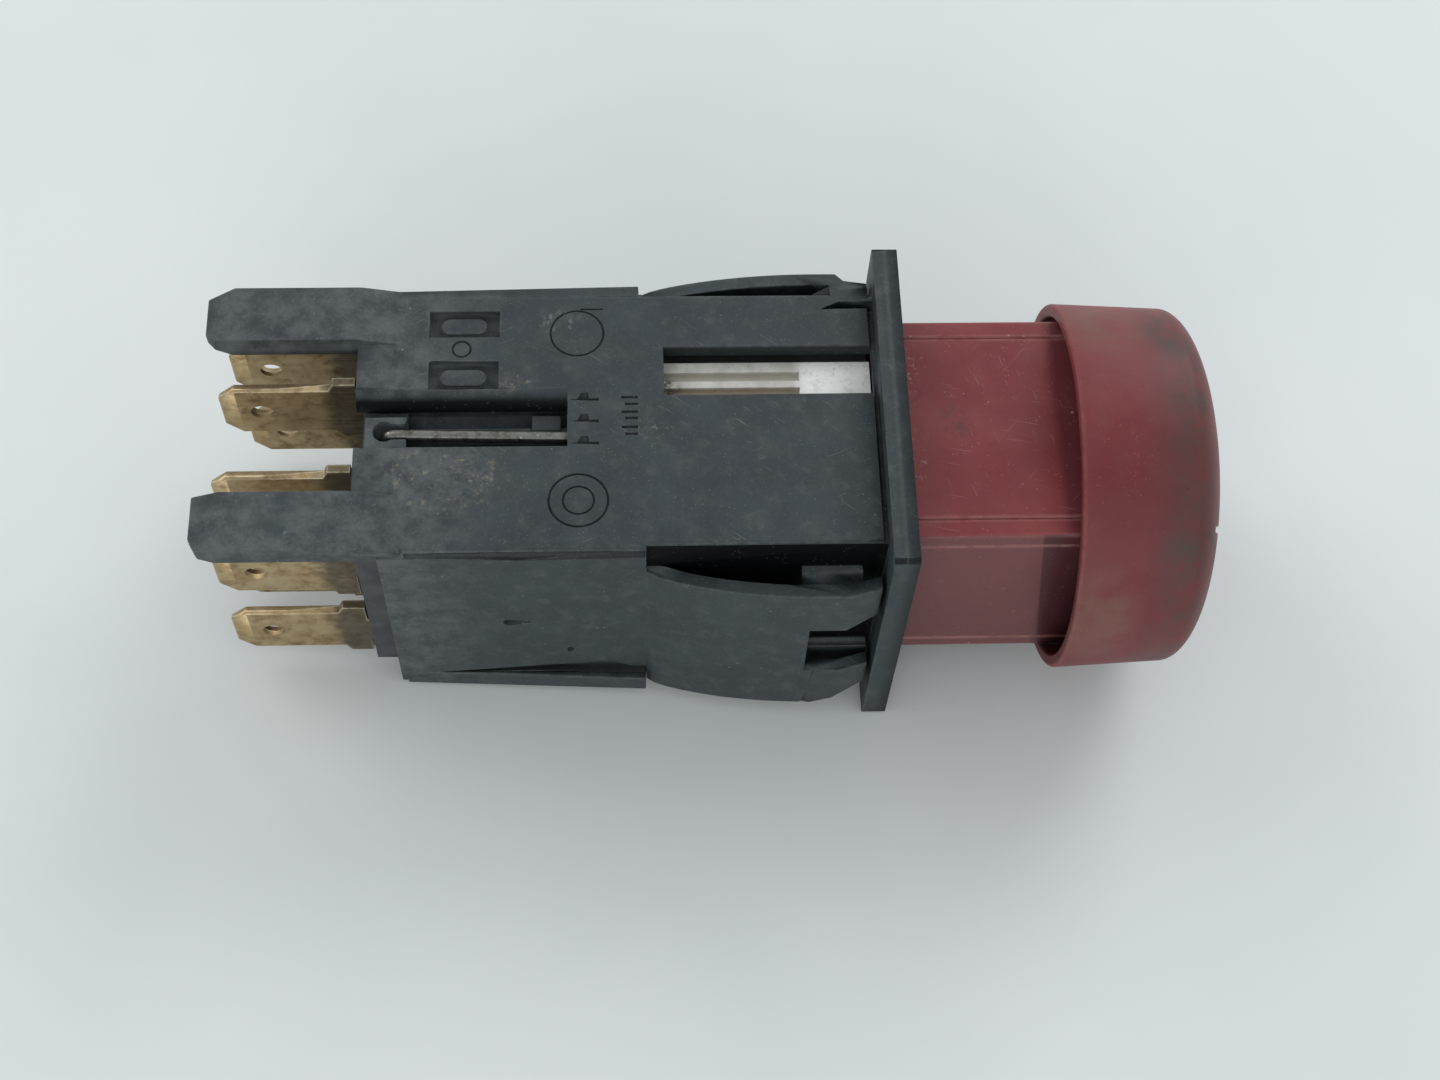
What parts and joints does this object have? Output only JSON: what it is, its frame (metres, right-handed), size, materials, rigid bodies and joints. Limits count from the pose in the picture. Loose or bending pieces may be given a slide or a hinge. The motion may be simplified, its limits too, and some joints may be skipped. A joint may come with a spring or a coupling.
{
  "type": "emergency stop button",
  "caption": "Square-bezel panel switch with a red round push-push lens button that latches in, a lamp inside and rear push-on tabs.",
  "frame": {"origin": "on the plane through the lowest points of the round cap, under the middle of the object's length and width", "axes": "+X along the push axis, towards the button; +Y towards the side with the flared rib; +Z out of the face with the latch wire's channel"},
  "size_m": [0.0848, 0.0318, 0.0318],
  "materials": {
    "black_plastic": "moulded, dusty and scuffed",
    "carrier_plastic": "moulded, dull",
    "ivory_plastic": "moulded, with old grease in its grooves",
    "red_plastic": "translucent, scratched and dusty",
    "terminal_brass": "rolled and stamped, stained brown",
    "contact_brass": "rolled, clean",
    "lamp_brass": "pressed, dull",
    "spring_steel": "drawn wire",
    "bulb_glass": "clear"
  },
  "bodies": {
    "body": {"housing": "black_plastic", "terminal_carrier": "carrier_plastic", "terminal_upper_1": "terminal_brass", "terminal_upper_2": "terminal_brass", "terminal_upper_3": "terminal_brass", "terminal_upper_4": "terminal_brass", "terminal_lower_1": "terminal_brass", "terminal_lower_2": "terminal_brass", "terminal_lower_3": "terminal_brass", "return_spring": "spring_steel"},
    "plunger": {"slider": "ivory_plastic", "red_button": "red_plastic", "contact_clip_left": "contact_brass", "contact_clip_right": "contact_brass", "contact_clip_lower": "contact_brass", "bulb_cap": "lamp_brass", "bulb_glass": "bulb_glass", "lamp_socket": "lamp_brass", "lamp_live_strip": "lamp_brass", "lamp_return_strip": "lamp_brass"},
    "wire": {"latch_wire": "spring_steel"}
  },
  "joints": [
    {"name": "button_press", "type": "slide", "parent": "body", "child": "plunger", "axis": [-1, 0, 0], "range_m": [0, 0.008], "stiffness_N_per_m": 400, "springref_m": -0.006, "deforming": ["return_spring"]},
    {"name": "latch_wire_swing", "type": "hinge", "parent": "body", "child": "wire", "pos_m": [-0.02755, -0.0009, 0.0273], "axis": [0, 0, 1], "range_deg": [0, 7.5]}
  ],
  "couplings": [
    {"joint": "latch_wire_swing", "follows": "button_press", "rad_per_m": 16.25}
  ]
}
